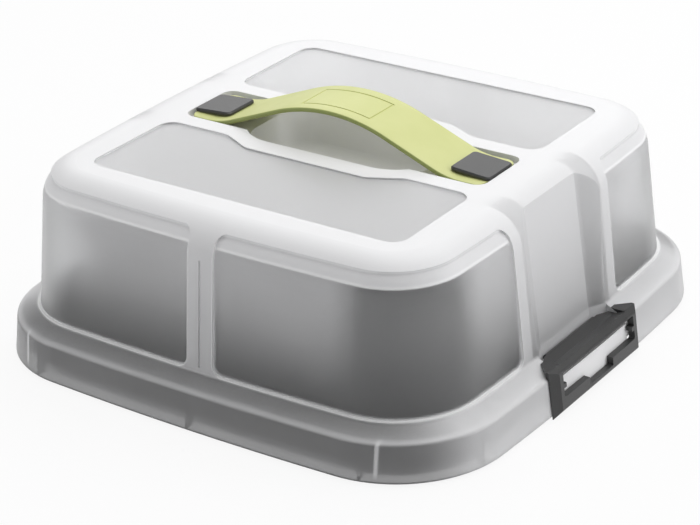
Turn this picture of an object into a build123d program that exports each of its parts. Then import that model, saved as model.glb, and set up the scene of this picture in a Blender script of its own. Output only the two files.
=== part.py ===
from build123d import *
import os
from math import atan2, cos, degrees, hypot, radians, sin, sqrt, tan

os.makedirs("parts", exist_ok=True)

# A square springform pan stands on its base plate under a frosted cover with a carry strap.
# The frame's origin is at the middle of the foot, +Z is up and +X runs along the strap.

# Cover, outside sizes
skirt_reach = 42.4
skirt_corner_r = 66.2
side_bow_r = 2000.0
skirt_bottom_z = 2.0
skirt_height = 21.3
skirt_flare = 2.5
shoulder_height = 6.0
shoulder_width = 12.6
cover_height = 112.6
wall_draft = 5.8
cover_wall = 2.0
crown_r = 21.0
ridge_r = 2.0
foot_r = 3.0

# Cover, recessed windows round the corners
window_depth = 1.4
window_lip = 7.4
window_top_drop = 5.0
window_sill = 0.8
window_corner_r = 6.0
front_rib_width = 17.0
rib_groove_width = 1.4
rib_groove_depth = 0.7
side_rib_width = 8.0

# Cover, top panels, handle channel and hand recess
panel_end_margin = 42.9
panel_side_margin = 40.8
panel_inner_y = 34.0
panel_depth = 1.0
panel_corner_r = 9.0
panel_bend_r = 12.0
channel_end = 13.8
channel_width = 45.0
channel_depth = 4.2
channel_corner_r = 7.0
recess_length = 122.0
recess_straight = 82.0
recess_width = 62.0
recess_depth = 26.0
recess_slope = 22.0
recess_bottom_r = 9.0
recess_corner_r = 22.0
panel_bend_gap = 13.0

# Bay for a latch, in the middle of the +X and -X sides
bay_foot_depth = 5.2
bay_top_depth = 7.6
bay_floor_width = 53.0
bay_side_slope = 2.14
bay_sill_drop = 3.5

# Locating ribs inside the skirt
locating_rib_t = 1.6
locating_rib_turn = 14.0
locating_rib_reach = 12.0
seat_gap = 0.3

# Strap
strap_width = 39.5
strap_t = 2.8
strap_rise = 23.2
strap_crown_r = 100.0
strap_foot_r = 50.0
strap_slope = 21.5
strap_end_reach = 11.4
strap_corner_r = 6.0
strap_edge_r = 1.0
strap_slot_width = 17.0
strap_travel = 1.0
strap_well_length = 23.8
strap_well_width = 21.0
strap_well_depth = 1.0
strap_gap = 0.2
emblem_length = 46.0
emblem_width = 25.0
emblem_line = 0.9
emblem_depth = 0.4

# Pegs and their keepers
peg_spacing = 177.4
peg_head_width = 26.0
peg_head_t = 1.9
peg_head_gap = 1.0
peg_head_tilt = 4.0
peg_head_corner_r = 3.0
peg_head_bevel = 0.8
peg_stem_length = 10.0
peg_stem_width = 16.0
peg_stem_tail = 4.2
peg_fit = 0.1
keeper_width = 24.0
keeper_t = 2.0

# Latches
latch_gap = 0.4
latch_t = 3.8
latch_face_width = 83.6
latch_width = 96.6
latch_back_reach = 16.4
latch_cheek_reach = 5.6
latch_bottom_z = 0.4
latch_bevel = 4.8
latch_top_z = 28.0
latch_window_width = 79.0
latch_window_bottom = 11.0
latch_window_top = 25.2
latch_window_corner_r = 1.2
bar_notch_width = 26.0
bar_thin_t = 1.4
lug_size = 2.6
lug_z = 17.5
plate_t = 2.4
plate_flat_reach = 13.0
plate_rim_reach = 6.6
plate_wall_gap = 3.4
plate_wing_gap = 0.8
barrel_gap = 0.6
toe_width = 5.0
toe_setback = 1.5
toe_t = 2.4
toe_gap = 0.3
toe_notch_rise = 5.0
toe_notch_side = 1.0

# Latch hinges
hinge_inset = 1.5
hinge_drop = 0.3
hinge_pin_r = 1.1
hinge_pin_length = 77.0
hinge_fit = 0.05
barrel_r = 2.4

# Base plate
base_rim_inset = 7.0
base_rim_height = 10.4
base_rim_bead = 3.2
base_rim_bead_t = 3.2
base_rim_bead_r = 1.4
base_wall_run = 6.0
base_sheet = 1.0
platform_height = 9.0
platform_gap = 0.3
platform_edge_r = 2.0

# Springform ring
pan_width = 240.0
pan_corner_r = 42.0
ring_sheet = 1.0
ring_foot_gap = 0.3
ring_top_z = 76.5
rim_bead_r = 2.2
rim_wire_r = 1.1
rim_wire_fit = 0.1
rim_wire_setback = 2.0
foot_bead_z = 3.0
foot_bead_height = 4.0
foot_bead_out = 1.4
foot_bead_r = 1.2
seam_x = 22.0
seam_gap = 1.2

# Clasp at the seam, on the +Y side
clasp_z = 16.5
clasp_sheet = 1.2
clasp_plate_height = 15.0
bracket_start = 4.0
bracket_length = 20.0
catch_start = 3.0
catch_length = 13.0
lever_pivot_run = 14.0
lever_pivot_out = 7.0
lever_reach = 27.0
lever_height = 10.8
lever_sheet = 1.0
lever_half_depth = 3.0
lever_web_start = 16.0
lever_boss_r = 2.2
lever_gap = 0.2
ear_width = 7.0
link_pin_run = 7.0
link_pin_drop = 3.3
link_wire_r = 0.9
link_length = 30.0
link_half_height = 3.2
link_fit = 0.08
link_bend_r = 1.2
post_gap = 1.0
post_t = 2.0
post_height = 4.0
post_out = 6.3
pivot_r = 1.1
pivot_fit = 0.05
rivet_r = 1.0
rivet_fit = 0.05
rivet_head_r = 1.7
rivet_head_t = 0.8
rivet_rise = 4.6
rivet_edge = 3.4

# Sizes that follow from the ones above
skirt_width = pan_width + 2 * skirt_reach
bow_centre = side_bow_r - skirt_width / 2
corner_centre = (sqrt(2 * (side_bow_r - skirt_corner_r) ** 2 - bow_centre**2) - bow_centre) / 2
side_half_angle = degrees(atan2(corner_centre, bow_centre + corner_centre))
top_z = skirt_bottom_z + cover_height
ridge_z = skirt_bottom_z + skirt_height
wall_foot_z = ridge_z + shoulder_height
wall_foot_inset = skirt_flare + shoulder_width
wall_foot_half = skirt_width / 2 - wall_foot_inset
wall_run = tan(radians(wall_draft))
panel_length = 2 * (wall_foot_half - panel_end_margin)
panel_outer_y = wall_foot_half - panel_side_margin
hinge_x = wall_foot_half - hinge_inset
hinge_z = ridge_z - hinge_drop
bay_sill_z = ridge_z - bay_sill_drop
bay_run = wall_run + (bay_top_depth - bay_foot_depth) / (top_z - wall_foot_z)
bay_foot_half = bay_floor_width / 2 + bay_side_slope * bay_foot_depth
bay_top_half = bay_floor_width / 2 + bay_side_slope * bay_top_depth
latch_face_x = skirt_width / 2 + latch_gap + latch_t
channel_z = top_z - channel_depth
peg_x = peg_spacing / 2
channel_length = peg_spacing + 2 * channel_end
strap_z = channel_z + strap_gap
peg_head_z = strap_z + strap_t + peg_head_gap
pan_half = pan_width / 2
rim_foot_z = base_rim_height - base_rim_bead
toe_top_z = rim_foot_z - toe_gap
toe_y = latch_window_width / 2 + toe_setback
plate_top_z = hinge_z + barrel_r
strap_end_x = peg_x + strap_end_reach
strap_slot_end = peg_stem_length / 2 + strap_travel + peg_fit
strap_well_x = peg_x + strap_slot_end - strap_well_length / 2
keeper_z = channel_z - cover_wall - strap_gap
platform_width = pan_width - 2 * (ring_sheet + platform_gap)
platform_corner_r = pan_corner_r - ring_sheet - platform_gap
ring_foot_z = base_sheet + ring_foot_gap
rim_path_half = pan_half + rim_bead_r - ring_sheet
rim_path_z = ring_top_z - rim_bead_r
clasp_face = pan_half + clasp_sheet
pivot_x = seam_x + lever_pivot_run
pivot_y = pan_half + lever_pivot_out
link_pin_x = pivot_x + link_pin_run
link_pin_y = pivot_y - link_pin_drop
hook_x = link_pin_x - link_length
bracket_x = seam_x + seam_gap / 2 + bracket_start + bracket_length / 2
catch_x = seam_x - seam_gap / 2 - catch_start - catch_length / 2
rivet_xs = (catch_x - catch_length / 2 + rivet_edge, bracket_x - bracket_length / 2 + rivet_edge)
rivet_spots = [(x, clasp_z + rise) for x in rivet_xs for rise in (-rivet_rise, rivet_rise)]
rim_corners = [(x * rim_path_half, y * rim_path_half) for x, y in ((1, 1), (-1, 1), (-1, -1), (1, -1))]


def cover_outline(inset):
    """Bowed square with round corners, drawn in by inset from the skirt's foot."""
    for quarter in range(4):
        turn = 90 * quarter
        bow = Vector(0, bow_centre).rotate(Axis.Z, turn)
        corner = Vector(corner_centre, -corner_centre).rotate(Axis.Z, turn)
        start = turn - side_half_angle - 90
        CenterArc(bow, side_bow_r - inset, start, 2 * side_half_angle)
        CenterArc(corner, skirt_corner_r - inset, start + 2 * side_half_angle, 90 - 2 * side_half_angle)


def bow_x(inset, y):
    """Where the bowed +X side lies at y, drawn in by inset from the skirt's foot."""
    return sqrt((side_bow_r - inset) ** 2 - y**2) - bow_centre


def bay_half_width(x, z):
    """Half the bay's width between its slanted walls at x, on a level z."""
    floor_x = wall_foot_half - bay_foot_depth - bay_run * (z - wall_foot_z)
    return bay_floor_width / 2 + bay_side_slope * (x - floor_x)


def side_profile(depth, foot_z):
    """Inset and height of the cover's side, one point per bend, at a depth under its surface."""
    run = [(0, skirt_bottom_z), (skirt_flare, ridge_z), (wall_foot_inset, wall_foot_z)]
    run.append((wall_foot_inset + wall_run * (top_z - wall_foot_z), top_z))
    lines = []
    for (inset_a, z_a), (inset_b, z_b) in zip(run, run[1:]):
        length = hypot(inset_b - inset_a, z_b - z_a)
        step = ((inset_b - inset_a) / length, (z_b - z_a) / length)
        lines.append((inset_a + depth * step[1], z_a - depth * step[0], step))
    points = []
    inset, z, step = lines[0]
    points.append((inset + (foot_z - z) * step[0] / step[1], foot_z))
    for (inset_a, z_a, a), (inset_b, z_b, b) in zip(lines, lines[1:]):
        cross = a[0] * b[1] - a[1] * b[0]
        along = ((inset_b - inset_a) * b[1] - (z_b - z_a) * b[0]) / cross
        points.append((inset_a + along * a[0], z_a + along * a[1]))
    inset, z, step = lines[-1]
    points.append((inset + (top_z - depth - z) * step[0] / step[1], top_z - depth))
    return points


def cover_form(depth, foot_z=skirt_bottom_z):
    """Solid bounded by the cover's surface moved inwards by depth, down to foot_z."""
    profile = side_profile(depth, foot_z)
    with BuildPart() as form:
        for (inset_a, z_a), (inset_b, z_b) in zip(profile, profile[1:]):
            with BuildSketch(Plane.XY.offset(z_a)):
                with BuildLine():
                    cover_outline(inset_a)
                make_face()
            extrude(amount=z_b - z_a, taper=degrees(atan2(inset_b - inset_a, z_b - z_a)))
        fillet(form.edges().filter_by(Plane.XY).group_by(Axis.Z)[-1], crown_r - depth)
        ridge = form.edges().filter_by(lambda edge: abs(edge.center().Z - profile[1][1]) < 0.01)
        fillet(ridge, ridge_r)
        foot = form.edges().filter_by(lambda edge: abs(edge.center().Z - profile[2][1]) < 0.01)
        fillet(foot, foot_r)
    return form.part


def window_cut(depth, grow):
    """The four window pockets, each wrapped round a corner, as deep as depth."""
    lip_inset = wall_foot_inset + wall_run * (top_z - crown_r - wall_foot_z) + window_lip + grow
    side_edge = bay_top_half + side_rib_width - grow
    front_edge = front_rib_width / 2 - grow
    sill_z = wall_foot_z + window_sill - grow
    reach = skirt_width / 2
    corner_r = window_corner_r + grow
    with BuildPart() as cut:
        with BuildSketch(Plane.XY.offset(sill_z)):
            with Locations((front_edge, side_edge)):
                Rectangle(reach, reach, align=(Align.MIN, Align.MIN))
            with BuildLine():
                cover_outline(lip_inset)
            make_face(mode=Mode.SUBTRACT)
        extrude(amount=top_z)
        for plane, edge in ((Plane.XZ, front_edge), (Plane.YZ, side_edge)):
            with BuildSketch(plane) as elevation:
                with Locations((edge, sill_z)):
                    rise = top_z - window_top_drop + grow - sill_z
                    Rectangle(reach * 1.5, rise, align=(Align.MIN, Align.MIN))
                fillet(elevation.vertices().group_by(Axis.X)[0], corner_r)
            extrude(amount=skirt_width, both=True, mode=Mode.INTERSECT)
        mirror(about=Plane.YZ)
        mirror(about=Plane.XZ)
        add(cover_form(depth), mode=Mode.SUBTRACT)
    return cut.part


def bay_cut(grow):
    """The two bays, with slanted side walls and a floor that leans in more than the cover's wall."""
    levels = [(bay_sill_z - grow, bay_foot_depth, bay_foot_half)]
    levels += [(wall_foot_z, bay_top_depth, bay_top_half)]
    with BuildPart() as cut:
        for level_z, depth, half in levels:
            floor_x = wall_foot_half - bay_foot_depth - bay_run * (level_z - wall_foot_z)
            points = [(floor_x, bay_floor_width / 2), (floor_x + depth, half)]
            points += [(floor_x + depth + skirt_corner_r, half)]
            with BuildSketch(Plane.XY.offset(level_z)):
                with BuildLine():
                    Polyline(*points, *[(x, -y) for x, y in reversed(points)], close=True)
                make_face()
                if grow:
                    offset(amount=grow, kind=Kind.INTERSECTION)
            rise = cover_height if depth > bay_foot_depth else wall_foot_z + foot_r - level_z
            extrude(amount=rise, dir=(-bay_run, 0, 1))
        mirror(about=Plane.YZ)
    return cut.part


def hand_cut(grow):
    """The handle channel and the deeper hand recess in its middle."""
    floor_z = channel_z - grow
    rim_half = recess_width / 2
    channel_half = channel_width / 2
    rim = [(recess_length / 2, channel_half), (recess_straight / 2, rim_half)]
    rim += [(-x, y) for x, y in reversed(rim)]
    rim += [(x, -y) for x, y in reversed(rim)]
    with BuildPart() as cut:
        with BuildSketch(Plane.XY.offset(floor_z)):
            RectangleRounded(channel_length + 2 * grow, channel_width + 2 * grow, channel_corner_r + grow)
        extrude(amount=channel_depth + grow)
        with BuildSketch(Plane.XY.offset(top_z)) as rim_sketch:
            with BuildLine():
                Polyline(*rim, close=True)
            make_face()
            fillet(rim_sketch.vertices(), recess_corner_r)
            if grow:
                offset(amount=grow)
        extrude(amount=-(recess_depth + grow), taper=recess_slope)
        fillet(cut.edges().group_by(Axis.Z)[0], recess_bottom_r)
    return cut.part


def rib_boxes():
    """Upright ribs that stand inside the skirt, two near each corner and one in mid side."""
    turn = radians(locating_rib_turn)
    radius = skirt_corner_r - locating_rib_reach / 2
    along = corner_centre + radius * sin(turn)
    across = corner_centre + radius * cos(turn)
    spots = [(skirt_width / 2 - locating_rib_reach / 2, 0, 0)]
    spots.append((across, along, locating_rib_turn))
    spots.append((across, -along, -locating_rib_turn))
    with BuildPart() as boxes:
        for quarter in range(4):
            for x, y, angle in spots:
                place = Plane.XY.rotated((0, 0, 90 * quarter)) * Location((x, y, 0), (0, 0, angle))
                with BuildSketch(Plane(place)):
                    Rectangle(2 * locating_rib_reach, locating_rib_t)
                extrude(amount=wall_foot_z)
    return boxes.part


def save(piece, name):
    """Label a finished piece and write it as its own STEP file."""
    piece.part.label = name
    export_step(piece.part, f"parts/{name}.step")
    solids = piece.part.solids()
    print(name, len(solids), round(piece.part.volume), piece.part.is_valid)


# Frosted cover: a thin moulded shell, its inside drawn in by one wall everywhere
with BuildPart() as cover_hollow:
    add(cover_form(cover_wall))
    add(window_cut(window_depth + cover_wall, cover_wall), mode=Mode.SUBTRACT)
    add(bay_cut(cover_wall), mode=Mode.SUBTRACT)
    add(hand_cut(cover_wall), mode=Mode.SUBTRACT)

with BuildPart() as cover_ribs:
    add(rib_boxes())
    add(cover_form(cover_wall), mode=Mode.INTERSECT)
    with BuildSketch():
        with BuildLine():
            cover_outline(base_rim_inset - seat_gap)
        make_face()
    extrude(amount=base_rim_height + seat_gap, mode=Mode.SUBTRACT)
    with BuildSketch():
        with BuildLine():
            cover_outline(locating_rib_reach)
        make_face()
    extrude(amount=top_z, mode=Mode.SUBTRACT)
    add(bay_cut(0), mode=Mode.SUBTRACT)

with BuildPart() as rib_groove:
    with BuildSketch(Plane.XY.offset(wall_foot_z + foot_r)):
        Rectangle(rib_groove_width, skirt_width)
    extrude(amount=cover_height - skirt_height - shoulder_height - crown_r - foot_r)
    add(cover_form(rib_groove_depth), mode=Mode.SUBTRACT)

with BuildPart() as cover_shell:
    add(cover_form(0))
    add(window_cut(window_depth, 0), mode=Mode.SUBTRACT)
    add(bay_cut(0), mode=Mode.SUBTRACT)
    add(hand_cut(0), mode=Mode.SUBTRACT)
    panel_bend = recess_width / 2 + panel_bend_gap
    bend_run = (recess_length - recess_straight) / 2
    panel_bend_x = recess_straight / 2
    with BuildSketch(Plane.XY.offset(top_z)) as panels:
        with BuildLine():
            Polyline(
                (panel_length / 2, panel_outer_y),
                (panel_length / 2, panel_inner_y),
                (panel_bend_x + bend_run, panel_inner_y),
                (panel_bend_x, panel_bend),
                (-panel_bend_x, panel_bend),
                (-panel_bend_x - bend_run, panel_inner_y),
                (-panel_length / 2, panel_inner_y),
                (-panel_length / 2, panel_outer_y),
                close=True,
            )
        make_face()
        fillet(panels.vertices().filter_by(lambda v: abs(v.X) > panel_length / 2 - 1), panel_corner_r)
        fillet(panels.vertices().filter_by(lambda v: abs(v.X) < panel_bend_x + bend_run + 1), panel_bend_r)
        mirror(about=Plane.XZ)
    extrude(amount=-panel_depth, mode=Mode.SUBTRACT)
    add(cover_hollow.part, mode=Mode.SUBTRACT)
    add(cover_ribs.part)
    # Holes for the pegs' stems
    with BuildSketch(Plane.XY.offset(top_z)):
        with Locations((peg_x, 0), (-peg_x, 0)):
            Rectangle(peg_stem_length + 2 * peg_fit, peg_stem_width + 2 * peg_fit)
    extrude(amount=-crown_r, mode=Mode.SUBTRACT)
    # Holes for the latches' hinge pins
    with BuildSketch(Plane.XZ):
        with Locations((hinge_x, hinge_z), (-hinge_x, hinge_z)):
            Circle(hinge_pin_r + hinge_fit)
    extrude(amount=hinge_pin_length, both=True, mode=Mode.SUBTRACT)
    # Notches in the skirt for the latches' toes
    notch_x = bow_x(base_rim_inset, toe_y)
    spots = [(x, y) for x in (notch_x, -notch_x) for y in (toe_y, -toe_y)]
    with BuildSketch(Plane.XY):
        with Locations(*spots):
            Rectangle(4 * base_rim_inset, toe_width + 2 * toe_notch_side)
    extrude(amount=toe_top_z + toe_notch_rise, mode=Mode.SUBTRACT)
    # Fine line down the middle of the front and back ribs
    add(rib_groove.part, mode=Mode.SUBTRACT)
save(cover_shell, "cover_shell")


def strap_surface(height):
    """The strap's line, seen from the side, at a height over its underside."""
    slope = strap_slope
    crown_run = strap_crown_r * sin(radians(slope))
    crown_drop = strap_crown_r * (1 - cos(radians(slope)))
    foot_run = strap_foot_r * sin(radians(slope))
    foot_drop = strap_foot_r * (1 - cos(radians(slope)))
    straight_run = (strap_rise - crown_drop - foot_drop) / tan(radians(slope))
    crown_z = strap_z + strap_rise - strap_crown_r
    foot_x = crown_run + straight_run + foot_run
    crown = CenterArc((0, crown_z), strap_crown_r + height, 90 - slope, 2 * slope)
    foot_radius = strap_foot_r - height
    for side in (1, -1):
        start = -90 - slope if side > 0 else -90
        foot = CenterArc((side * foot_x, strap_z + strap_foot_r), foot_radius, start, slope)
        Line(crown @ (0 if side > 0 else 1), foot @ (0 if side > 0 else 1))
        Line((side * foot_x, strap_z + height), (side * strap_end_x, strap_z + height))


def strap_body(low, high):
    """The strap's plain band between two heights over its underside."""
    with BuildPart() as band:
        with BuildSketch(Plane.XZ):
            with BuildLine():
                strap_surface(low)
                strap_surface(high)
                for side in (1, -1):
                    Line((side * strap_end_x, strap_z + low), (side * strap_end_x, strap_z + high))
            make_face()
        extrude(amount=strap_width / 2, both=True)
    return band.part


# Strap: a moulded band with a well and a slot at each end and a bare frame line on its crown
with BuildPart() as strap_marks:
    with BuildSketch(Plane.XY.offset(strap_z)):
        Rectangle(emblem_length, emblem_width)
        Rectangle(emblem_length - 2 * emblem_line, emblem_width - 2 * emblem_line, mode=Mode.SUBTRACT)
    extrude(amount=2 * strap_rise)
    add(strap_body(0, strap_t - emblem_depth), mode=Mode.SUBTRACT)

with BuildPart() as strap_wells:
    with BuildSketch(Plane.XY.offset(strap_z)):
        with Locations((strap_well_x, 0), (-strap_well_x, 0)):
            Rectangle(strap_well_length, strap_well_width)
    extrude(amount=strap_rise)
    add(strap_body(0, strap_t - strap_well_depth), mode=Mode.SUBTRACT)

with BuildPart() as carry_strap:
    add(strap_body(0, strap_t))
    ends = carry_strap.edges().filter_by(Axis.Z)
    fillet(ends, strap_corner_r)
    rims = carry_strap.faces().sort_by(Axis.Y)
    fillet(rims[0].edges() + rims[-1].edges(), strap_edge_r)
    add(strap_marks.part, mode=Mode.SUBTRACT)
    add(strap_wells.part, mode=Mode.SUBTRACT)
    with BuildSketch(Plane.XY.offset(strap_z)):
        with Locations((peg_x, 0), (-peg_x, 0)):
            Rectangle(2 * strap_slot_end, strap_slot_width)
    extrude(amount=strap_t, mode=Mode.SUBTRACT)
save(carry_strap, "carry_strap")

# Pegs: a square head over the strap's end on a stem, held from below by a keeper
for side, name in ((-1, "left"), (1, "right")):
    with BuildPart() as peg:
        lean = radians(peg_head_tilt)
        head_normal = Vector(side * sin(lean), 0, cos(lean))
        with BuildSketch(Plane(origin=(side * peg_x, 0, peg_head_z), z_dir=head_normal)):
            RectangleRounded(peg_head_width, peg_head_width, peg_head_corner_r)
        extrude(amount=peg_head_t)
        chamfer(peg.faces().sort_by(Axis.Z)[-1].edges(), peg_head_bevel)
        stem_foot = keeper_z - keeper_t - peg_stem_tail
        with BuildSketch(Plane.XY.offset(stem_foot)):
            with Locations((side * peg_x, 0)):
                Rectangle(peg_stem_length, peg_stem_width)
        extrude(amount=peg_head_z + peg_head_t / 2 - stem_foot)
    save(peg, f"{name}_peg")

    with BuildPart() as keeper:
        with BuildSketch(Plane.XY.offset(keeper_z)):
            with Locations((side * peg_x, 0)):
                RectangleRounded(keeper_width, keeper_width, peg_head_corner_r)
                Rectangle(
                    peg_stem_length + 2 * peg_fit, peg_stem_width + 2 * peg_fit, mode=Mode.SUBTRACT
                )
        extrude(amount=-keeper_t)
    save(keeper, f"{name}_peg_clip")

# A latch's top plate: flat in the bay, clear of its slanted walls, and rising to the latch's rim
plate_half = bay_foot_half - plate_wing_gap
plate_rise = [(hinge_x, plate_top_z), (latch_face_x - plate_flat_reach, plate_top_z)]
plate_rise += [(latch_face_x - plate_rim_reach, latch_top_z)]
plate_back = bay_half_width(hinge_x, hinge_z) - plate_wall_gap
plate_neck_x = hinge_x + (plate_half - plate_back) / bay_side_slope
plate_plan = [(hinge_x, plate_back), (plate_neck_x, plate_half), (latch_face_x, plate_half)]
with BuildPart() as latch_plate:
    with BuildSketch(Plane.XZ):
        with BuildLine():
            Polyline(*plate_rise, *[(x, z - plate_t) for x, z in reversed(plate_rise)], close=True)
        make_face()
    extrude(amount=plate_half, both=True)
    with BuildSketch():
        with BuildLine():
            Polyline(*plate_plan, *[(x, -y) for x, y in reversed(plate_plan)], close=True)
        make_face()
    extrude(amount=latch_top_z, mode=Mode.INTERSECT)

# Latches: a moulded clip over the skirt, with a window, a top plate in the bay and two toes
for side, name in ((-1, "left"), (1, "right")):
    with BuildPart() as latch:
        outer = [(latch_face_x - latch_back_reach, bay_foot_half)]
        outer += [(latch_face_x - latch_cheek_reach, latch_width / 2)]
        outer += [(latch_face_x - latch_t, latch_width / 2)]
        outer += [(latch_face_x + latch_gap, latch_face_width / 2)]
        with BuildSketch(Plane.XY.offset(latch_bottom_z)):
            with BuildLine():
                Polyline(*outer, *[(x, -y) for x, y in reversed(outer)], close=True)
            make_face()
        extrude(amount=latch_top_z, dir=(-skirt_flare / skirt_height, 0, 1))
        add(cover_form(-latch_gap - latch_t, 0), mode=Mode.INTERSECT)
        add(cover_form(-latch_gap, 0), mode=Mode.SUBTRACT)
        with BuildSketch(Plane.XY.offset(latch_top_z)):
            Rectangle(2 * latch_face_x, 2 * latch_width)
        extrude(amount=latch_top_z, mode=Mode.SUBTRACT)
        # Bevel along the foot
        with BuildSketch(Plane.XZ):
            with BuildLine():
                bevel_x = latch_face_x - latch_t
                Polyline(
                    (bevel_x, latch_bottom_z),
                    (bevel_x + 2 * latch_t, latch_bottom_z + 2 * latch_bevel),
                    (bevel_x + 2 * latch_t, latch_bottom_z),
                    close=True,
                )
            make_face()
        extrude(amount=latch_width, both=True, mode=Mode.SUBTRACT)
        # The part over the bay gives way to the top plate
        with BuildSketch(Plane.XZ):
            with BuildLine():
                Polyline(*plate_rise, (hinge_x, latch_top_z), close=True)
            make_face()
        extrude(amount=plate_half, both=True, mode=Mode.SUBTRACT)
        add(latch_plate.part)
        barrel_half = bay_half_width(hinge_x - barrel_r, hinge_z) - 2 * barrel_gap
        with BuildSketch(Plane.XZ):
            with Locations((hinge_x, hinge_z)):
                Circle(barrel_r)
        extrude(amount=barrel_half, both=True)
        with BuildSketch(Plane.XZ):
            with Locations((hinge_x, hinge_z)):
                Circle(hinge_pin_r + hinge_fit)
        extrude(amount=latch_width, both=True, mode=Mode.SUBTRACT)
        # Window with a thin middle bar at its foot and a lug at each end
        window_x = skirt_width / 2 - skirt_flare
        with BuildSketch(Plane.YZ.offset(window_x)):
            with Locations((0, (latch_window_bottom + latch_window_top) / 2)):
                RectangleRounded(
                    latch_window_width, latch_window_top - latch_window_bottom, latch_window_corner_r
                )
            with Locations((0, latch_bottom_z + latch_bevel + bar_thin_t)):
                Rectangle(bar_notch_width, latch_window_bottom, align=(Align.CENTER, Align.MIN))
            with Locations((latch_window_width / 2, lug_z), (-latch_window_width / 2, lug_z)):
                Rectangle(2 * lug_size, lug_size, mode=Mode.SUBTRACT)
        extrude(amount=skirt_flare + 2 * latch_t, mode=Mode.SUBTRACT)
        # Toes that reach under the base's rim through notches in the skirt
        toe_tip_x = bow_x(base_rim_inset, toe_y - toe_width / 2) + toe_gap
        toe_root_x = bow_x(0, toe_y) + latch_gap + toe_gap
        with BuildSketch(Plane.XY.offset(toe_top_z)):
            with Locations((toe_tip_x, toe_y), (toe_tip_x, -toe_y)):
                Rectangle(toe_root_x - toe_tip_x, toe_width, align=(Align.MIN, Align.CENTER))
        extrude(amount=-toe_t)
        if side < 0:
            mirror(about=Plane.YZ, mode=Mode.REPLACE)
    save(latch, f"{name}_latch")

    with BuildPart() as pin:
        with BuildSketch(Plane.XZ):
            with Locations((side * hinge_x, hinge_z)):
                Circle(hinge_pin_r)
        extrude(amount=hinge_pin_length / 2, both=True)
    save(pin, f"{name}_latch_pin")

# Base plate: pressed sheet with a raised platform, a flat trough to stand on and a beaded rim
with BuildPart() as rim_bead:
    with BuildSketch(Plane.XY.offset(rim_foot_z)):
        with BuildLine():
            cover_outline(base_rim_inset)
        make_face()
        with BuildLine():
            cover_outline(base_rim_inset + base_rim_bead_t)
        make_face(mode=Mode.SUBTRACT)
    extrude(amount=base_rim_bead)
    fillet(rim_bead.edges().filter_by(Plane.XY), base_rim_bead_r)

with BuildPart() as base_plate:
    for drop in (0, base_sheet):
        mode = Mode.ADD if drop == 0 else Mode.SUBTRACT
        with BuildSketch(Plane.XY.offset(drop)):
            with BuildLine():
                cover_outline(base_rim_inset + base_wall_run + drop)
            make_face()
        rise = base_rim_height - base_rim_bead_r
        extrude(amount=rise, taper=-degrees(atan2(base_wall_run, base_rim_height)), mode=mode)
    with BuildSketch():
        RectangleRounded(platform_width, platform_width, platform_corner_r)
    extrude(amount=platform_height)
    fillet(base_plate.faces().sort_by_distance((0, 0, platform_height)).first.edges(), platform_edge_r)
    with BuildSketch():
        inside = platform_width - 2 * base_sheet
        RectangleRounded(inside, inside, platform_corner_r - base_sheet)
    extrude(amount=platform_height - base_sheet, mode=Mode.SUBTRACT)
    add(rim_bead.part)
save(base_plate, "base_plate")

with BuildPart() as foot_bead:
    with BuildSketch(Plane.XY.offset(foot_bead_z)):
        outside = pan_width + 2 * foot_bead_out
        RectangleRounded(outside, outside, pan_corner_r + foot_bead_out)
        inside = pan_width - 2 * ring_sheet
        RectangleRounded(inside, inside, pan_corner_r - ring_sheet, mode=Mode.SUBTRACT)
    extrude(amount=foot_bead_height)
    rims = foot_bead.faces().filter_by(Axis.Z)
    bead_edges = [face.outer_wire().edges() for face in rims]
    fillet(bead_edges[0] + bead_edges[1], foot_bead_r)

# Springform ring: one bent sheet with a foot bead and a rim rolled round a wire, open at a seam
with BuildPart() as springform_ring:
    with BuildSketch(Plane.XY.offset(ring_foot_z)):
        RectangleRounded(pan_width, pan_width, pan_corner_r)
        inside = pan_width - 2 * ring_sheet
        RectangleRounded(inside, inside, pan_corner_r - ring_sheet, mode=Mode.SUBTRACT)
    extrude(amount=rim_path_z - ring_foot_z)
    add(foot_bead.part)
    with BuildLine(Plane.XY.offset(rim_path_z)) as rim_path:
        FilletPolyline(*rim_corners, radius=pan_corner_r + rim_bead_r - ring_sheet, close=True)
    rim_start = Plane(origin=rim_path.line @ 0, z_dir=rim_path.line % 0)
    with BuildSketch(rim_start):
        Circle(rim_bead_r)
    sweep(path=rim_path.line)
    with BuildSketch(rim_start):
        Circle(rim_wire_r + rim_wire_fit)
    sweep(path=rim_path.line, mode=Mode.SUBTRACT)
    with BuildSketch():
        with Locations((seam_x, pan_half)):
            Rectangle(seam_gap, pan_corner_r)
    extrude(amount=ring_top_z, mode=Mode.SUBTRACT)
    with BuildSketch(Plane.XZ.offset(-pan_half)):
        with Locations(*rivet_spots):
            Circle(rivet_r + rivet_fit)
    extrude(amount=pan_corner_r, mode=Mode.SUBTRACT)
save(springform_ring, "springform_ring")

with BuildPart() as ring_rim_wire:
    with BuildSketch(rim_start):
        Circle(rim_wire_r)
    sweep(path=rim_path.line)
    with BuildSketch():
        with Locations((seam_x, pan_half)):
            Rectangle(seam_gap + 2 * rim_wire_setback, pan_corner_r)
    extrude(amount=ring_top_z, mode=Mode.SUBTRACT)
save(ring_rim_wire, "ring_rim_wire")

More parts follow.
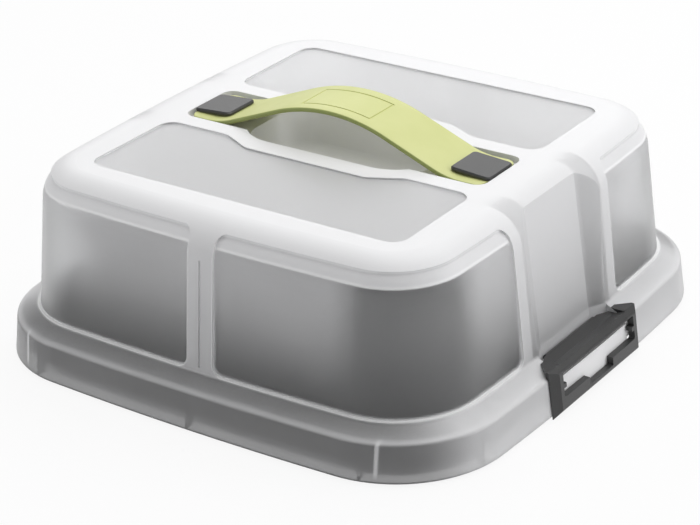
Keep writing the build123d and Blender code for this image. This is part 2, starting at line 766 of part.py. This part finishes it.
# Clasp: bracket with two ears on one side of the seam, catch with a post on the other
ear_z = lever_height / 2 + lever_gap
with BuildPart() as clasp_bracket:
    with BuildSketch(Plane.XZ.offset(-pan_half)):
        with Locations((bracket_x, clasp_z)):
            RectangleRounded(bracket_length, clasp_plate_height, clasp_sheet)
        with Locations(*rivet_spots[2:]):
            Circle(rivet_r + rivet_fit, mode=Mode.SUBTRACT)
    extrude(amount=-clasp_sheet)
    for low in (clasp_z + ear_z, clasp_z - ear_z - clasp_sheet):
        with BuildSketch(Plane.XY.offset(low)):
            with Locations((pivot_x, pivot_y)):
                Circle(ear_width / 2)
            with Locations((pivot_x, pan_half)):
                Rectangle(ear_width, lever_pivot_out, align=(Align.CENTER, Align.MIN))
            with Locations((pivot_x, pivot_y)):
                Circle(pivot_r + pivot_fit, mode=Mode.SUBTRACT)
        extrude(amount=clasp_sheet)
save(clasp_bracket, "clasp_bracket")

with BuildPart() as clasp_catch:
    with BuildSketch(Plane.XZ.offset(-pan_half)):
        with Locations((catch_x, clasp_z)):
            RectangleRounded(catch_length, clasp_plate_height, clasp_sheet)
        with Locations(*rivet_spots[:2]):
            Circle(rivet_r + rivet_fit, mode=Mode.SUBTRACT)
    extrude(amount=-clasp_sheet)
    with BuildSketch(Plane.XY.offset(clasp_z - post_height / 2)):
        with Locations((hook_x + link_wire_r + post_gap, clasp_face)):
            Rectangle(post_t, post_out, align=(Align.MIN, Align.MIN))
    extrude(amount=post_height)
save(clasp_catch, "clasp_catch")

# Lever: two cheeks joined by an outer web past the link's reach
with BuildPart() as clasp_lever:
    cheek_z = lever_height / 2
    for low in (clasp_z - cheek_z, clasp_z + cheek_z - lever_sheet):
        with BuildSketch(Plane.XY.offset(low)) as cheek:
            with Locations((pivot_x, pivot_y)):
                Circle(lever_half_depth)
                Rectangle(lever_reach, 2 * lever_half_depth, align=(Align.MIN, Align.CENTER))
            with Locations((link_pin_x, link_pin_y)):
                Circle(lever_boss_r)
                Circle(link_wire_r + link_fit, mode=Mode.SUBTRACT)
            with Locations((pivot_x, pivot_y)):
                Circle(pivot_r + pivot_fit, mode=Mode.SUBTRACT)
        extrude(amount=lever_sheet)
    with BuildSketch(Plane.XY.offset(clasp_z - cheek_z)):
        with Locations((pivot_x + lever_web_start, pivot_y + lever_half_depth)):
            Rectangle(lever_reach - lever_web_start, lever_sheet, align=(Align.MIN, Align.MAX))
    extrude(amount=lever_height)
    tip = clasp_lever.edges().filter_by(Axis.Y).group_by(Axis.X)[-1]
    fillet(tip.sort_by(Axis.Z)[0], lever_boss_r)
    fillet(clasp_lever.edges().filter_by(Axis.Y).group_by(Axis.X)[-1].sort_by(Axis.Z)[-1], lever_boss_r)
save(clasp_lever, "clasp_lever")

with BuildPart() as clasp_pins:
    for turn in (1, -1):
        inner = Plane.XY.offset(clasp_z + turn * (lever_height / 2 - lever_sheet))
        outer = Plane.XY.offset(clasp_z + turn * (ear_z + clasp_sheet))
        with BuildSketch(inner):
            with Locations((pivot_x, pivot_y)):
                Circle(pivot_r)
        extrude(amount=turn * (lever_sheet + lever_gap + clasp_sheet))
        with BuildSketch(outer):
            with Locations((pivot_x, pivot_y)):
                Circle(rivet_head_r)
        extrude(amount=turn * rivet_head_t)
save(clasp_pins, "clasp_pins")

# Link: one bent wire, its ends turned out through the lever's cheeks
with BuildPart() as clasp_link:
    half = link_half_height
    end = lever_height / 2 + rivet_head_t / 2
    route = [(link_pin_x, clasp_z - end), (link_pin_x, clasp_z - half), (hook_x, clasp_z - half)]
    route += [(x, 2 * clasp_z - z) for x, z in reversed(route)]
    with BuildLine(Plane.XZ.offset(-link_pin_y)) as link_path:
        FilletPolyline(*route, radius=link_bend_r)
    with BuildSketch(Plane(origin=link_path.line @ 0, z_dir=link_path.line % 0)):
        Circle(link_wire_r)
    sweep(path=link_path.line)
save(clasp_link, "clasp_link")

with BuildPart() as clasp_rivets:
    with BuildSketch(Plane.XZ.offset(-clasp_face)):
        with Locations(*rivet_spots):
            Circle(rivet_r)
    extrude(amount=clasp_sheet + ring_sheet)
    with BuildSketch(Plane.XZ.offset(-clasp_face)):
        with Locations(*rivet_spots):
            Circle(rivet_head_r)
    extrude(amount=-rivet_head_t)
    with BuildSketch(Plane.XZ.offset(-pan_half + ring_sheet)):
        with Locations(*rivet_spots):
            Circle(rivet_head_r)
    extrude(amount=rivet_head_t)
save(clasp_rivets, "clasp_rivets")
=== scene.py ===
import math

import bpy
import numpy as np
from mathutils import Matrix, Vector


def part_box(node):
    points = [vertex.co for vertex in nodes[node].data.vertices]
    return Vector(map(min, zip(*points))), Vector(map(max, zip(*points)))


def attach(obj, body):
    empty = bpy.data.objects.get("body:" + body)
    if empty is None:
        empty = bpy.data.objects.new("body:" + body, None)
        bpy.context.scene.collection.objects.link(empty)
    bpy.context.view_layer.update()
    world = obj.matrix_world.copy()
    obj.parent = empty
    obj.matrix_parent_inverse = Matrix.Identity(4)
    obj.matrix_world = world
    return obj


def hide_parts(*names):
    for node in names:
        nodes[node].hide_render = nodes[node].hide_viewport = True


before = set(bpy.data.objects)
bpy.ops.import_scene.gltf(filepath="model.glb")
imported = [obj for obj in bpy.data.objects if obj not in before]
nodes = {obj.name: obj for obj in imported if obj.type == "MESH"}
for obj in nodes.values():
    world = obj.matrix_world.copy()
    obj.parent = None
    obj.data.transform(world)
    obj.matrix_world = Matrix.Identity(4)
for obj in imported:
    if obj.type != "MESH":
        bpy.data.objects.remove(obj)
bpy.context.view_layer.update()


# Base plate: a pressed steel sheet with a raised platform and a beaded rim, sprayed with a dark
# non-stick coat that has a fine orange peel. The pan's ring stands round the platform.
class Flow:
    """An output socket of a finish, whose arithmetic adds Math nodes."""

    def __init__(self, finish, socket):
        self.finish = finish
        self.socket = socket

    def math(self, operation, *values):
        return self.finish.put("Math", {"operation": operation}, dict(enumerate(values)))

    def __add__(self, other):
        return self.math("ADD", self, other)

    def __sub__(self, other):
        return self.math("SUBTRACT", self, other)

    def __rsub__(self, other):
        return self.math("SUBTRACT", other, self)

    def __mul__(self, other):
        return self.math("MULTIPLY", self, other)

    def __abs__(self):
        return self.math("ABSOLUTE", self)

    def root(self):
        return self.math("SQRT", self)

    def least(self, other):
        return self.math("MINIMUM", self, other)

    def most(self, other):
        return self.math("MAXIMUM", self, other)

    def ramp(self, low, high, place=0.0):
        """0 below place + low, 1 above place + high and smooth between them."""
        settings = {"interpolation_type": "SMOOTHSTEP"}
        stops = {0: self, 1: place + low, 2: place + high, 3: 0.0, 4: 1.0}
        return self.finish.put("MapRange", settings, stops)

    def fall(self, low, high, place=0.0):
        """1 below place + low, 0 above place + high and smooth between them."""
        return 1.0 - self.ramp(low, high, place)

    __radd__ = __add__
    __rmul__ = __mul__


class Finish:
    """A material, with one method that adds any node to it."""

    def __init__(self, name):
        self.material = bpy.data.materials.new(name)
        self.material.use_nodes = True
        self.tree = self.material.node_tree
        self.tree.nodes.clear()
        self.place = self.put("TexCoord", out="Object")

    def put(self, kind, settings=None, sockets=None, out=0):
        node = self.tree.nodes.new("ShaderNode" + kind)
        for key, value in (settings or {}).items():
            setattr(node, key, value)
        for key, value in (sockets or {}).items():
            if isinstance(value, Flow):
                self.tree.links.new(value.socket, node.inputs[key])
            else:
                node.inputs[key].default_value = value
        return Flow(self, node.outputs[out])

    def axes(self):
        """The object's X, Y and Z in metres."""
        split = self.put("SeparateXYZ", {}, {0: self.place})
        return [Flow(self, socket) for socket in split.socket.node.outputs]

    def noise(self, scale, detail=2.0, stretch=None):
        place = self.place
        if stretch:
            place = self.put("Mapping", {}, {"Vector": place, "Scale": stretch})
        return self.put("TexNoise", {}, {"Vector": place, "Scale": scale, "Detail": detail})

    def blend(self, share, low, high):
        """A colour between two colours."""
        settings = {"data_type": "RGBA"}
        return self.put("Mix", settings, {0: share, 6: low, 7: high}, out=2)

    def bump(self, height, distance):
        return self.put("Bump", {}, {"Height": height, "Distance": distance})

    def surface(self, **sockets):
        """A plain surface, its sockets given by their names in small letters."""
        named = {}
        for key, value in sockets.items():
            named[key.replace("_", " ").title().replace("Ior", "IOR")] = value
        return self.put("BsdfPrincipled", {}, named)

    def close(self, shader):
        output = self.tree.nodes.new("ShaderNodeOutputMaterial")
        self.tree.links.new(shader.socket, output.inputs["Surface"])
        return self.material


def grey(value):
    """A grey with a touch of blue."""
    return (value, value, value * 1.01, 1.0)


def dress(material, *names):
    """Give CAD nodes a finish."""
    for name in names:
        mesh = nodes[name].data
        mesh.materials.clear()
        mesh.materials.append(material)


coat_dark = grey(0.024)
coat_light = grey(0.042)
coat_clouds = (0.35, 0.7)
coat_roughness = 0.22
cloud_roughness = 0.12
even_clouds = (1.0, 1.0, 1.0)


def non_stick(name, stretch):
    """The dark coat, paler and rougher in faint clouds."""
    coat = Finish(name)
    peel = coat.noise(scale=900.0, detail=3.0)
    cloud = coat.noise(scale=28.0, detail=3.0, stretch=stretch)
    return coat.close(
        coat.surface(
            base_color=coat.blend(cloud.ramp(*coat_clouds), coat_dark, coat_light),
            metallic=0.35,
            roughness=cloud * cloud_roughness + coat_roughness,
            normal=coat.bump(peel, distance=0.00006),
        )
    )


dress(non_stick("base_coat", even_clouds), "base_plate")

# Springform ring: one steel strip, bent square, its foot beaded and its rim rolled over a wire.
# The coat is the base plate's, with the faint upright streaks of the rolled strip.
upright_streaks = (1.0, 1.0, 0.2)
dress(non_stick("ring_coat", upright_streaks), "springform_ring")

# Wire, clasp and pins: bright drawn wire and stamped sheet, riveted to the ring at its seam.
# The lever pulls the link's wire over the catch's post and so draws the ring tight.
steel_dark = grey(0.5)
steel_light = grey(0.62)
steel_roughness = 0.22
drawn_roughness = 0.15

steel = Finish("clasp_steel")
drawn = steel.noise(scale=1400.0, detail=2.0, stretch=(0.15, 1.0, 1.0))
steel_finish = steel.close(
    steel.surface(
        base_color=steel.blend(drawn, steel_dark, steel_light),
        metallic=1.0,
        roughness=drawn * drawn_roughness + steel_roughness,
        normal=steel.bump(drawn, distance=0.00002),
    )
)
dress(
    steel_finish,
    "ring_rim_wire",
    "clasp_bracket",
    "clasp_catch",
    "clasp_lever",
    "clasp_pins",
    "clasp_link",
    "clasp_rivets",
    "left_latch_pin",
    "right_latch_pin",
)

# Cover: injection moulded in milky plastic, with clearer windows and top panels that let the dark
# pan show through. Painted highlights run as bright lines along the windows' edges and the ledge
# over them, and bright lines mark the gates. The bays and walls are clearer low down, and the skirt
# is painted grey as painted shade for the dark base behind it.
cover_low, cover_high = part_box("cover_shell")
soft_edge = (-0.0006, 0.0006)
crisp_edge = (-0.0004, 0.0)

front_rib_half = 0.0085
side_rib_edge = 0.0507
window_foot = cover_low[2] + 0.0281
window_head = cover_high[2] - 0.0060
window_round = 0.006
pane_edge = (0.0005, 0.0012)
edge_highlight_outside = (-0.0006, -0.0002)
edge_highlight_inside = (0.0001, 0.0005)
ledge_foot = cover_high[2] - 0.0134
ledge_highlight_height = ledge_foot + 0.0009
ledge_highlight_ends = (0.0, 0.001)
ledge_highlight_half = (0.0003, 0.0010)

haze_heights = (0.030, 0.100)
haze_share = 0.58
corner_painted_shade = 0.48
haze_cloud = 0.5
haze_least = 0.75
pan_corner = (0.078, 0.104)

panel_inner = 0.0342
panel_inner_edge = (0.0, 0.0006)
panel_outer = cover_high[1] - 0.0561
panel_end = cover_high[0] - 0.0582
panel_depth = (-0.0008, -0.0005)
panel_clear = 0.58

skirt_ridge = cover_low[2] + 0.0213
skirt_head = (-0.0012, 0.0002)
ridge_line_height = skirt_ridge + 0.0006
ridge_line_half = (0.0002, 0.0016)
latch_side = (0.110, 0.147)
skirt_clear = 0.50
skirt_clear_mottle = 0.16
skirt_clear_lost_on_ridge = 0.45
skirt_clear_lost_by_latch = 0.55
skirt_painted_shade = 0.78
ridge_painted_shade_lost = 0.5
latch_side_painted_light = 0.60
strip_grain = 0.5
strip_painted_shade_lost = 0.24

gate_place = 0.1188
gate_half = (0.0003, 0.0016)
gate_side = (0.135, 0.137)
gate_head = (0.0, 0.002)
gate_foot = (0.001, 0.006)

bay_half = 0.0428
bay_edge = (-0.001, 0.0005)
bay_depth = (0.112, 0.125)
bay_floor_half = 0.0272
bay_wall_edge = (-0.001, 0.002)
bay_heights = (0.030, 0.110)
bay_clear = 0.06
bay_clear_low = 0.46
bay_clear_wall = 0.24
wall_heights = (0.034, 0.112)
wall_clear = 0.40
latch_half = 0.0400
latch_edge = (0.0, 0.001)
latch_face = (0.150, 0.152)

edge_highlight_strength = 0.65
gate_line_strength = 0.6
latch_field_painted_light = 0.9
milk_white = (0.915, 0.915, 0.925, 1.0)
# The two greys of the skirt's painted shade.
milk_painted_shade = grey(0.30)
clear_white = (0.93, 0.935, 0.94, 1.0)
clear_painted_shade = grey(0.34)
painted_light_and_rib_white = (0.98, 0.98, 0.985, 1.0)
plastic_ior = 1.4

frost = Finish("frosted_cover")
cover_x, cover_y, cover_z = frost.axes()
side_x = abs(cover_x)
side_y = abs(cover_y)

from_ribs = (side_x - front_rib_half).least(side_y - side_rib_edge)
from_foot = (cover_z - window_foot).least(window_head - cover_z)
past_side = (window_round - from_ribs).most(0.0)
past_foot = (window_round - from_foot).most(0.0)
inside = window_round - (past_side * past_side + past_foot * past_foot).root()
pane = inside.ramp(*pane_edge) * cover_z.fall(*soft_edge, ledge_foot)
# Painted highlights: a bright line just inside each window's edge, and one along the ledge over it.
window_edge_highlight = inside.ramp(*edge_highlight_outside) * inside.fall(*edge_highlight_inside)
ledge_highlight = inside.ramp(*ledge_highlight_ends) * abs(cover_z - ledge_highlight_height).fall(*ledge_highlight_half)

on_panel = side_x.fall(*crisp_edge, panel_end) * side_y.ramp(*panel_inner_edge, panel_inner)
on_panel = on_panel * side_y.fall(*crisp_edge, panel_outer)
panel = on_panel * cover_z.fall(*panel_depth, cover_high[2])

on_skirt = cover_z.fall(*skirt_head, window_foot)
on_strip = on_skirt * cover_z.ramp(*soft_edge, skirt_ridge)
ridge_line = abs(cover_z - ridge_line_height).fall(*ridge_line_half)
strip_flecks = frost.noise(scale=1.0, detail=4.0, stretch=(420.0, 420.0, 1400.0))
mottle = frost.noise(scale=45.0, detail=3.0)
# Painted light: on the cover's latch ends the skirt is painted lighter, with less of its painted grey and
# less clearness, where the light falls.
toward_latch = side_y.fall(*latch_side)
foot_share = on_skirt * (mottle * skirt_clear_mottle + skirt_clear)
foot_share = foot_share * (1.0 - ridge_line * skirt_clear_lost_on_ridge)
foot_share = foot_share * (1.0 - toward_latch * skirt_clear_lost_by_latch)
foot_share = foot_share + on_strip * (strip_flecks - 0.5) * strip_grain
# Painted shade: the skirt is blended towards grey for the dark base and the shade behind it, less on the
# strip above the ridge and along the ridge's line.
foot_painted_shade = on_skirt * (skirt_painted_shade - toward_latch * latch_side_painted_light)
foot_painted_shade = foot_painted_shade * (1.0 - ridge_line * ridge_painted_shade_lost)
foot_painted_shade = foot_painted_shade - on_strip * strip_painted_shade_lost

gate_rib = abs(side_x - gate_place).fall(*gate_half) * side_y.ramp(*gate_side)
gate_rib = gate_rib * cover_z.fall(*gate_head, skirt_ridge) * cover_z.ramp(*gate_foot, cover_low[2])

above_skirt = 1.0 - on_skirt
in_bay = side_y.fall(*bay_edge, bay_half) * side_x.ramp(*bay_depth)
bay_wall = side_y.ramp(*bay_wall_edge, bay_floor_half)
bay_low = cover_z.fall(*bay_heights)
bay_share = in_bay * above_skirt * (bay_low * bay_clear_low + bay_wall * bay_clear_wall + bay_clear)
wall_share = above_skirt * cover_z.fall(*wall_heights) * wall_clear
# Painted light: the field behind each latch is painted near white, lifting the latch's shade, and the
# skirt's painted grey and clearness are left off there.
behind_latch = side_y.fall(*latch_edge, latch_half) * side_x.ramp(*latch_face)
off_latch = 1.0 - behind_latch

# Painted shade: the windows' haze thins near the cover's corners, so they show darker there; the haze also
# grows towards the top.
near_pan_corner = side_x.least(side_y).ramp(*pan_corner)
haze = cover_z.ramp(*haze_heights) * (frost.noise(scale=14.0) * haze_cloud + haze_least)
haze = haze * (haze_share - near_pan_corner * corner_painted_shade)
clearness = (pane * (1.0 - haze)).most(panel * panel_clear).most(foot_share * off_latch)
clearness = clearness.most(bay_share).most(wall_share)

milk = frost.surface(
    base_color=frost.blend(foot_painted_shade * off_latch, milk_white, milk_painted_shade),
    roughness=0.42,
    transmission_weight=0.20,
    ior=plastic_ior,
    normal=frost.bump(frost.noise(scale=1500.0), distance=0.00004),
)
clear = frost.surface(
    base_color=frost.blend(foot_painted_shade, clear_white, clear_painted_shade),
    roughness=0.28,
    transmission_weight=0.93,
    ior=plastic_ior,
    normal=frost.bump(frost.noise(scale=240.0), distance=0.00005),
)
bright = frost.surface(base_color=painted_light_and_rib_white, roughness=0.5)
body = frost.put("MixShader", {}, {0: clearness, 1: milk, 2: clear})
# Near white over the painted highlights, the gates' ribs and the painted light behind the latches.
painted_light_and_ribs = window_edge_highlight.most(ledge_highlight) * edge_highlight_strength
painted_light_and_ribs = painted_light_and_ribs.most(gate_rib * gate_line_strength).most(behind_latch * latch_field_painted_light)
dress(frost.close(frost.put("MixShader", {}, {0: painted_light_and_ribs, 1: body, 2: bright})), "cover_shell")

# Pegs, keepers and latches: dark grey moulded plastic with a fine spark-eroded grain.
# The pegs hold the strap's ends, and the latches hang on their pins with their toes at the base's rim.
dark_low = grey(0.036)
dark_high = grey(0.046)

dark = Finish("dark_plastic")
dark_finish = dark.close(
    dark.surface(
        base_color=dark.blend(dark.noise(scale=60.0), dark_low, dark_high),
        roughness=0.36,
        normal=dark.bump(dark.noise(scale=1800.0), distance=0.00006),
    )
)
dress(
    dark_finish,
    "left_peg",
    "right_peg",
    "left_peg_clip",
    "right_peg_clip",
    "left_latch",
    "right_latch",
)

# Strap: one soft moulded band, arched over the hand recess. Its ends lie in the handle channel, with
# a slot over each peg's stem in a shallow well, and a bare sunk frame line marks its crown.
strap_low, strap_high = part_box("carry_strap")
strap_thickness = 0.0028
strap_half = strap_high[1]
strap_end = strap_high[0]
strap_crown_radius = 0.100
strap_foot_radius = 0.050
strap_slope = math.radians(21.5)
strap_end_round = 0.006
strap_edge_round = 0.0010
strap_edge_steps = 5
strap_length_steps = 181
strap_crease = math.radians(35)
peg_middle = 0.0887
slot_half_length = 0.0061
slot_half_width = 0.0085
well_length = 0.0238
well_half_width = 0.0105
well_depth = 0.0010
cut_step = 0.0012
cut_over = 0.002
cut_under = 0.001
frame_half_length = 0.023
frame_half_width = 0.0125
frame_line = 0.0009
frame_depth = 0.0004
frame_wall = 0.0001

crown_run = strap_crown_radius * math.sin(strap_slope)
crown_drop = strap_crown_radius * (1 - math.cos(strap_slope))
foot_run = strap_foot_radius * math.sin(strap_slope)
foot_drop = strap_foot_radius * (1 - math.cos(strap_slope))
crown_height = strap_high[2] - strap_thickness
straight_run = (crown_height - strap_low[2] - crown_drop - foot_drop) / math.tan(strap_slope)
foot_start = crown_run + straight_run
foot_end = foot_start + foot_run


def strap_point(x, y, lift):
    """The place of a strap point at lift over the underside, square to the band's line."""
    side = abs(x)
    if side < crown_run:
        tilt = math.asin(side / strap_crown_radius)
        z = crown_height - strap_crown_radius * (1 - math.cos(tilt))
    elif side < foot_start:
        tilt = strap_slope
        z = crown_height - crown_drop - (side - crown_run) * math.tan(strap_slope)
    elif side < foot_end:
        tilt = math.asin((foot_end - side) / strap_foot_radius)
        z = strap_low[2] + strap_foot_radius * (1 - math.cos(tilt))
    else:
        tilt = 0.0
        z = strap_low[2]
    return (x + math.copysign(lift * math.sin(tilt), x), y, z + lift * math.cos(tilt))


def strap_section(half, low, high, rounding, across):
    """Points round a section of the band, its four edges rounded, with more across its top."""
    steps = strap_edge_steps if rounding else 1
    points = []
    corners = [(half, high, 0), (-half, high, 90), (-half, low, 180), (half, low, 270)]
    for y, lift, start in corners:
        centre_y = y - math.copysign(rounding, y)
        centre_lift = lift - rounding if lift == high else lift + rounding
        for step in range(steps):
            angle = math.radians(start + (90 * step / (steps - 1) if steps > 1 else 0))
            points.append((centre_y + rounding * math.cos(angle), centre_lift + rounding * math.sin(angle)))
        if start == 0:
            points += [(place, high) for place in across]
    return points


def frame_steps(half):
    """Both walls of the frame line on one side of the crown, from outside to inside."""
    return [half + frame_wall, half, half - frame_line, half - frame_line - frame_wall]


def frame_sink(x, y):
    """How far the crown's frame line sinks the top here."""
    outside = abs(x) > frame_half_length + frame_wall / 2 or abs(y) > frame_half_width + frame_wall / 2
    inner = frame_line + frame_wall / 2
    field = abs(x) < frame_half_length - inner and abs(y) < frame_half_width - inner
    return 0.0 if outside or field else frame_depth


def strap_band(name, x_places, halves, low, high, rounding=0.0, across=()):
    """A closed band over these places along X, half as wide as halves says at each."""
    mesh = bpy.data.meshes.new(name)
    vertices = []
    for x, half in zip(x_places, halves):
        for y, lift in strap_section(half, low, high, rounding, across):
            sink = frame_sink(x, y) if y in across else 0.0
            vertices.append(strap_point(x, y, lift - sink))
    count = len(vertices) // len(x_places)
    faces = []
    for place in range(len(x_places) - 1):
        for corner in range(count):
            following = (corner + 1) % count
            here, there = place * count, (place + 1) * count
            faces.append((here + corner, there + corner, there + following, here + following))
    faces.append(tuple(range(count)))
    faces.append(tuple(reversed(range(len(vertices) - count, len(vertices)))))
    mesh.from_pydata(vertices, [], faces)
    mesh.update()
    piece = bpy.data.objects.new(name, mesh)
    bpy.context.scene.collection.objects.link(piece)
    return piece


def strap_cut(strap, x_from, x_to, half, lift):
    """Cut the band from lift upwards over a stretch of its length."""
    places = np.linspace(x_from, x_to, max(2, int((x_to - x_from) / cut_step)))
    cutter = strap_band("cutter", places, [half] * len(places), lift, strap_thickness + cut_over)
    boolean = strap.modifiers.new("cut", "BOOLEAN")
    boolean.object = cutter
    boolean.solver = "EXACT"
    with bpy.context.temp_override(object=strap, active_object=strap, selected_objects=[strap]):
        bpy.ops.object.modifier_apply(modifier=boolean.name)
    bpy.data.objects.remove(cutter)


corner_turns = [math.radians(angle) for angle in range(0, 91, 10)]
end_places = [strap_end - strap_end_round * (1 - math.sin(turn)) for turn in corner_turns]
end_halves = [strap_half - strap_end_round * (1 - math.cos(turn)) for turn in corner_turns]
frame_x = frame_steps(frame_half_length)
frame_y = frame_steps(frame_half_width)
main_places = [float(x) for x in np.linspace(-end_places[0], end_places[0], strap_length_steps)]
main_places = sorted(main_places + frame_x + [-x for x in frame_x])
across = frame_y + [-y for y in reversed(frame_y)]
strap_places = [-x for x in reversed(end_places[1:])] + main_places + end_places[1:]
strap_halves = list(reversed(end_halves[1:])) + [strap_half] * len(main_places) + end_halves[1:]
strap = strap_band("strap_band", strap_places, strap_halves, 0.0, strap_thickness, strap_edge_round, across)
for side in (1, -1):
    slot_end = peg_middle + slot_half_length
    well = sorted((side * slot_end, side * (slot_end - well_length)))
    strap_cut(strap, *well, well_half_width, strap_thickness - well_depth)
    slot = sorted((side * slot_end, side * (peg_middle - slot_half_length)))
    strap_cut(strap, *slot, slot_half_width, -cut_under)
for polygon in strap.data.polygons:
    polygon.use_smooth = True
strap.data.set_sharp_from_angle(angle=strap_crease)

strap_rim = (-0.0008, -0.0002)
tone_clouds = (0.3, 0.7)
lime_deep = (0.575, 0.60, 0.245, 1.0)
lime_pale = (0.61, 0.63, 0.275, 1.0)
lime_rim = (0.30, 0.35, 0.10, 1.0)
lime_roughness = 0.45
lime_cloud_roughness = 0.1

lime = Finish("lime_strap")
rim_share = abs(lime.axes()[1]).ramp(*strap_rim, strap_half)
tone = lime.blend(lime.noise(scale=35.0, detail=3.0).ramp(*tone_clouds), lime_deep, lime_pale)
strap.data.materials.clear()
strap.data.materials.append(
    lime.close(
        lime.surface(
            base_color=lime.blend(rim_share, tone, lime_rim),
            roughness=lime.noise(scale=120.0) * lime_cloud_roughness + lime_roughness,
            normal=lime.bump(lime.noise(scale=1500.0), distance=0.00004),
        )
    )
)
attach(strap, "strap")
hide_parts("carry_strap")

# Studio: a pale floor that runs out to a white background, soft lamps and the camera.
# The camera sees the floor and the sky as near white, while the sky lights the part only dimly.
floor_reach = 4.0
floor_grey = grey(0.8)
floor_glow = 0.90
pure_white = (1.0, 1.0, 1.0, 1.0)
fill_grey = (0.8, 0.8, 0.8, 1.0)
fill_strength = 0.35

floor_mesh = bpy.data.meshes.new("floor")
corners = [(-floor_reach, -floor_reach, 0), (floor_reach, -floor_reach, 0)]
corners += [(floor_reach, floor_reach, 0), (-floor_reach, floor_reach, 0)]
floor_mesh.from_pydata(corners, [], [(0, 1, 2, 3)])
floor = bpy.data.objects.new("floor", floor_mesh)
bpy.context.scene.collection.objects.link(floor)
paper = Finish("paper")
seen = paper.put("LightPath", out="Is Camera Ray")
glossy = paper.put("LightPath", out="Is Glossy Ray")
through = paper.put("LightPath", out="Is Transmission Ray")
lit = paper.put("BsdfDiffuse", {}, {"Color": floor_grey})
white = paper.put("Emission", {}, {"Color": pure_white, "Strength": 1.0})
share = seen.most(glossy).most(through) * floor_glow
floor_mesh.materials.append(paper.close(paper.put("MixShader", {}, {0: share, 1: lit, 2: white})))


class Sky(Finish):
    """The world's nodes, added in the same way as a material's."""

    def __init__(self, world):
        world.use_nodes = True
        self.tree = world.node_tree
        self.tree.nodes.clear()

    def close(self, shader):
        output = self.tree.nodes.new("ShaderNodeOutputWorld")
        self.tree.links.new(shader.socket, output.inputs["Surface"])


bpy.context.scene.world = bpy.data.worlds.new("studio")
sky = Sky(bpy.context.scene.world)
backdrop = sky.put("Background", {}, {"Color": pure_white, "Strength": 1.0})
fill = sky.put("Background", {}, {"Color": fill_grey, "Strength": fill_strength})
sky.close(sky.put("MixShader", {}, {0: sky.put("LightPath", out="Is Camera Ray"), 1: fill, 2: backdrop}))


def lamp(name, place, aim, width, height, power):
    light = bpy.data.lights.new(name, "AREA")
    light.shape = "RECTANGLE"
    light.size = width
    light.size_y = height
    light.energy = power
    holder = bpy.data.objects.new(name, light)
    holder.location = place
    holder.rotation_euler = (Vector(aim) - Vector(place)).to_track_quat("-Z", "Y").to_euler()
    bpy.context.scene.collection.objects.link(holder)


lamp("top_lamp", place=(0.1, 0.3, 1.3), aim=(0, 0, 0.08), width=1.4, height=1.4, power=15.5)
lamp("right_lamp", place=(1.35, 0.6, 0.6), aim=(0.1, 0, 0.06), width=0.9, height=0.9, power=6.6)
lamp("left_lamp", place=(-1.25, -0.95, 0.5), aim=(0, 0, 0.05), width=0.8, height=0.6, power=4.5)
lamp("back_lamp", place=(-0.85, 1.15, 0.72), aim=(0, 0, 0.08), width=1.2, height=0.7, power=4.2)

photo_width = 700
photo_height = 525
lens_pixels = 2328.87
lens_middle_across = 351.85
lens_middle_down = 222.08
film_width = 36.0
camera_turn = math.radians(35.304)
camera_lift = math.radians(24.934)
camera_roll = math.radians(-1.939)
camera_distance = 1.3518
camera_aim = Vector((0, 0, 0.06006))

level = math.cos(camera_lift)
back = Vector((math.sin(camera_turn) * level, -math.cos(camera_turn) * level, math.sin(camera_lift)))
right = Vector((math.cos(camera_turn), math.sin(camera_turn), 0))
up = back.cross(right)
right_rolled = right * math.cos(camera_roll) + up * math.sin(camera_roll)
up_rolled = up * math.cos(camera_roll) - right * math.sin(camera_roll)
lens = bpy.data.cameras.new("camera")
lens.sensor_width = film_width
lens.lens = lens_pixels / photo_width * film_width
lens.shift_x = (photo_width / 2 - lens_middle_across) / photo_width
lens.shift_y = (lens_middle_down - photo_height / 2) / photo_width
camera = bpy.data.objects.new("camera", lens)
bpy.context.scene.collection.objects.link(camera)
bpy.context.scene.camera = camera
facing = Matrix((right_rolled, up_rolled, back)).transposed().to_4x4()
camera.matrix_world = Matrix.Translation(camera_aim + back * camera_distance) @ facing

bpy.context.scene.view_settings.view_transform = "Standard"
